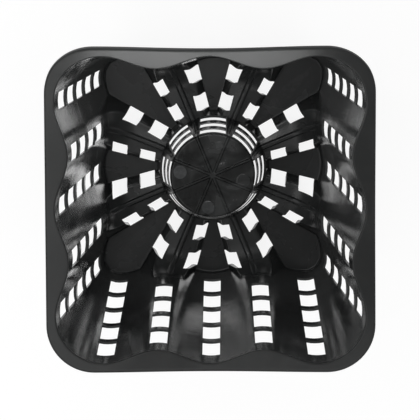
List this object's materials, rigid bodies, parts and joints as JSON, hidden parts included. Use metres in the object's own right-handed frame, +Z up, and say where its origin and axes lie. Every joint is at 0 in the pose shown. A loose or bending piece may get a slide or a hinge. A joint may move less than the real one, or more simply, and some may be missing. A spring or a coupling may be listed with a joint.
{
  "type": "air pruning plant pot",
  "caption": "Square tapered plant pot with wavy slotted walls, a flat rolled rim, a holed petal floor and a raised slotted hub.",
  "frame": {"origin": "centre of the square floor, on the plane that the pot stands on", "axes": "+Z up along the pot's axis towards the open mouth, -Y the front wall, +X the right wall"},
  "size_m": [0.254, 0.254, 0.254],
  "materials": {
    "black_plastic": "injection-moulded black polypropylene, semi-gloss with soft mould texture"
  },
  "bodies": {
    "root": {"corner_back_left": "black_plastic", "corner_back_right": "black_plastic", "corner_front_left": "black_plastic", "corner_front_right": "black_plastic", "floor_petal_1": "black_plastic", "floor_petal_2": "black_plastic", "floor_petal_3": "black_plastic", "floor_petal_4": "black_plastic", "floor_petal_5": "black_plastic", "floor_petal_6": "black_plastic", "floor_petal_7": "black_plastic", "floor_petal_8": "black_plastic", "floor_ridge_1": "black_plastic", "floor_ridge_2": "black_plastic", "floor_ridge_3": "black_plastic", "floor_ridge_4": "black_plastic", "floor_ridge_5": "black_plastic", "floor_ridge_6": "black_plastic", "floor_ridge_7": "black_plastic", "floor_ridge_8": "black_plastic", "hub_cap": "black_plastic", "hub_cone": "black_plastic", "rim_flange": "black_plastic", "wall_back": "black_plastic", "wall_front": "black_plastic", "wall_left": "black_plastic", "wall_right": "black_plastic"}
  },
  "joints": []
}
